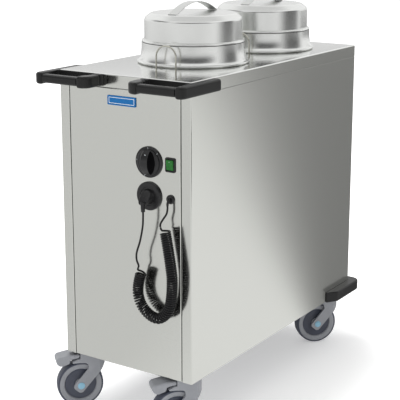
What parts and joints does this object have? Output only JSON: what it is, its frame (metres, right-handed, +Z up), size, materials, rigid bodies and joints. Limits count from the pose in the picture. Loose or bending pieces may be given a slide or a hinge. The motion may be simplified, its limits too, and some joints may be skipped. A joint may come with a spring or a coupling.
{
  "type": "plate dispenser cart",
  "caption": "Mobile heated plate dispenser: a sheet steel cabinet on swivel castors with lidded spring-loaded plate tubes, push handles, bumpers and a curly mains cord.",
  "frame": {"origin": "on the floor under the middle of the overall box, without the cord and its plug", "axes": "+Z up; the control end with the push handles faces -Y; +X is the cart's right side"},
  "size_m": [0.4698, 0.97, 1.0733],
  "materials": {
    "cabinet_steel": "fine brushed",
    "polished_steel": "satin polished",
    "zinc_plate": "zinc plated",
    "steel_wire": "bright wire",
    "black_moulding": "fine grained",
    "black_plastic": "satin moulded",
    "cord_black": "satin jacket",
    "badge_blue": "bare printed plate",
    "rocker_green": "translucent",
    "caster_grey": "moulded",
    "wheel_grey": "moulded",
    "tread_navy": "soft elastic tread",
    "axle_cap_blue": "moulded"
  },
  "bodies": {
    "cabinet": {"worktop": "polished_steel", "left_side_panel": "cabinet_steel", "right_side_panel": "cabinet_steel", "front_panel": "cabinet_steel", "rear_panel": "cabinet_steel", "base_tray": "zinc_plate", "badge_plate": "badge_blue", "front_tube": "cabinet_steel", "rear_tube": "cabinet_steel", "front_spring": "steel_wire", "rear_spring": "steel_wire", "front_tube_front_guide": "steel_wire", "front_tube_rear_guide": "steel_wire", "rear_tube_front_guide": "steel_wire", "rear_tube_rear_guide": "steel_wire", "left_handle": "black_moulding", "right_handle": "black_moulding", "left_grip": "black_plastic", "right_grip": "black_plastic", "left_bumper": "black_moulding", "right_bumper": "black_moulding", "thermostat": "black_plastic", "switch_housing": "black_plastic", "park_socket": "black_plastic", "plug": "cord_black", "cord_gland": "black_plastic", "cord_gland_lead": "cord_black", "cord_coil": "cord_black", "cord_plug_lead": "cord_black", "heater": "zinc_plate", "front_left_caster_plate": "zinc_plate", "front_right_caster_plate": "zinc_plate", "rear_left_caster_plate": "zinc_plate", "rear_right_caster_plate": "zinc_plate"},
    "front_platform": {"front_platform": "polished_steel"},
    "rear_platform": {"rear_platform": "polished_steel"},
    "front_lid": {"front_lid": "polished_steel", "front_lid_strap": "polished_steel"},
    "rear_lid": {"rear_lid": "polished_steel", "rear_lid_strap": "polished_steel"},
    "thermostat_knob": {"thermostat_knob": "black_plastic"},
    "switch_rocker": {"switch_rocker": "rocker_green"},
    "front_left_caster": {"front_left_caster_fork": "caster_grey", "front_left_axle": "axle_cap_blue"},
    "front_left_wheel": {"front_left_wheel": "wheel_grey", "front_left_tyre": "tread_navy"},
    "front_left_pedal": {"front_left_brake_pedal": "caster_grey"},
    "front_right_caster": {"front_right_caster_fork": "caster_grey", "front_right_axle": "axle_cap_blue"},
    "front_right_wheel": {"front_right_wheel": "wheel_grey", "front_right_tyre": "tread_navy"},
    "front_right_pedal": {"front_right_brake_pedal": "caster_grey"},
    "rear_left_caster": {"rear_left_caster_fork": "caster_grey", "rear_left_axle": "axle_cap_blue"},
    "rear_left_wheel": {"rear_left_wheel": "wheel_grey", "rear_left_tyre": "tread_navy"},
    "rear_right_caster": {"rear_right_caster_fork": "caster_grey", "rear_right_axle": "axle_cap_blue"},
    "rear_right_wheel": {"rear_right_wheel": "wheel_grey", "rear_right_tyre": "tread_navy"}
  },
  "joints": [
    {"name": "front_platform_travel", "type": "slide", "parent": "cabinet", "child": "front_platform", "axis": [0, 0, 1], "range_m": [-0.6, 0], "stiffness_N_per_m": 550, "springref_m": 0.04, "deforming": ["front_spring"]},
    {"name": "rear_platform_travel", "type": "slide", "parent": "cabinet", "child": "rear_platform", "axis": [0, 0, 1], "range_m": [-0.6, 0], "stiffness_N_per_m": 550, "springref_m": 0.04, "deforming": ["rear_spring"]},
    {"name": "front_lid_lift", "type": "slide", "parent": "cabinet", "child": "front_lid", "axis": [0, 0, 1], "range_m": [0, 0.15]},
    {"name": "rear_lid_lift", "type": "slide", "parent": "cabinet", "child": "rear_lid", "axis": [0, 0, 1], "range_m": [0, 0.15]},
    {"name": "thermostat_turn", "type": "hinge", "parent": "cabinet", "child": "thermostat_knob", "pos_m": [0.08588, -0.424, 0.71], "axis": [0, 1, 0], "range_deg": [0, 270]},
    {"name": "switch_tilt", "type": "hinge", "parent": "cabinet", "child": "switch_rocker", "pos_m": [0.14888, -0.4123, 0.71], "axis": [-1, 0, 0], "range_deg": [0, 14]},
    {"name": "front_left_swivel", "type": "hinge", "parent": "cabinet", "child": "front_left_caster", "pos_m": [-0.14812, -0.358, 0.15], "axis": [0, 0, 1], "continuous": true},
    {"name": "front_left_roll", "type": "hinge", "parent": "front_left_caster", "child": "front_left_wheel", "pos_m": [-0.17355, -0.38624, 0.0625], "axis": [0.7431, -0.6691, 0], "continuous": true},
    {"name": "front_left_brake", "type": "hinge", "parent": "front_left_caster", "child": "front_left_pedal", "pos_m": [-0.17823, -0.39144, 0.145], "axis": [0.7431, -0.6691, 0], "range_deg": [0, 10]},
    {"name": "front_right_swivel", "type": "hinge", "parent": "cabinet", "child": "front_right_caster", "pos_m": [0.16588, -0.358, 0.15], "axis": [0, 0, 1], "continuous": true},
    {"name": "front_right_roll", "type": "hinge", "parent": "front_right_caster", "child": "front_right_wheel", "pos_m": [0.14045, -0.38624, 0.0625], "axis": [0.7431, -0.6691, 0], "continuous": true},
    {"name": "front_right_brake", "type": "hinge", "parent": "front_right_caster", "child": "front_right_pedal", "pos_m": [0.13577, -0.39144, 0.145], "axis": [0.7431, -0.6691, 0], "range_deg": [0, 10]},
    {"name": "rear_left_swivel", "type": "hinge", "parent": "cabinet", "child": "rear_left_caster", "pos_m": [-0.14812, 0.396, 0.15], "axis": [0, 0, 1], "continuous": true},
    {"name": "rear_left_roll", "type": "hinge", "parent": "rear_left_caster", "child": "rear_left_wheel", "pos_m": [-0.17355, 0.36776, 0.0625], "axis": [0.7431, -0.6691, 0], "continuous": true},
    {"name": "rear_right_swivel", "type": "hinge", "parent": "cabinet", "child": "rear_right_caster", "pos_m": [0.16588, 0.396, 0.15], "axis": [0, 0, 1], "continuous": true},
    {"name": "rear_right_roll", "type": "hinge", "parent": "rear_right_caster", "child": "rear_right_wheel", "pos_m": [0.14045, 0.36776, 0.0625], "axis": [0.7431, -0.6691, 0], "continuous": true}
  ]
}
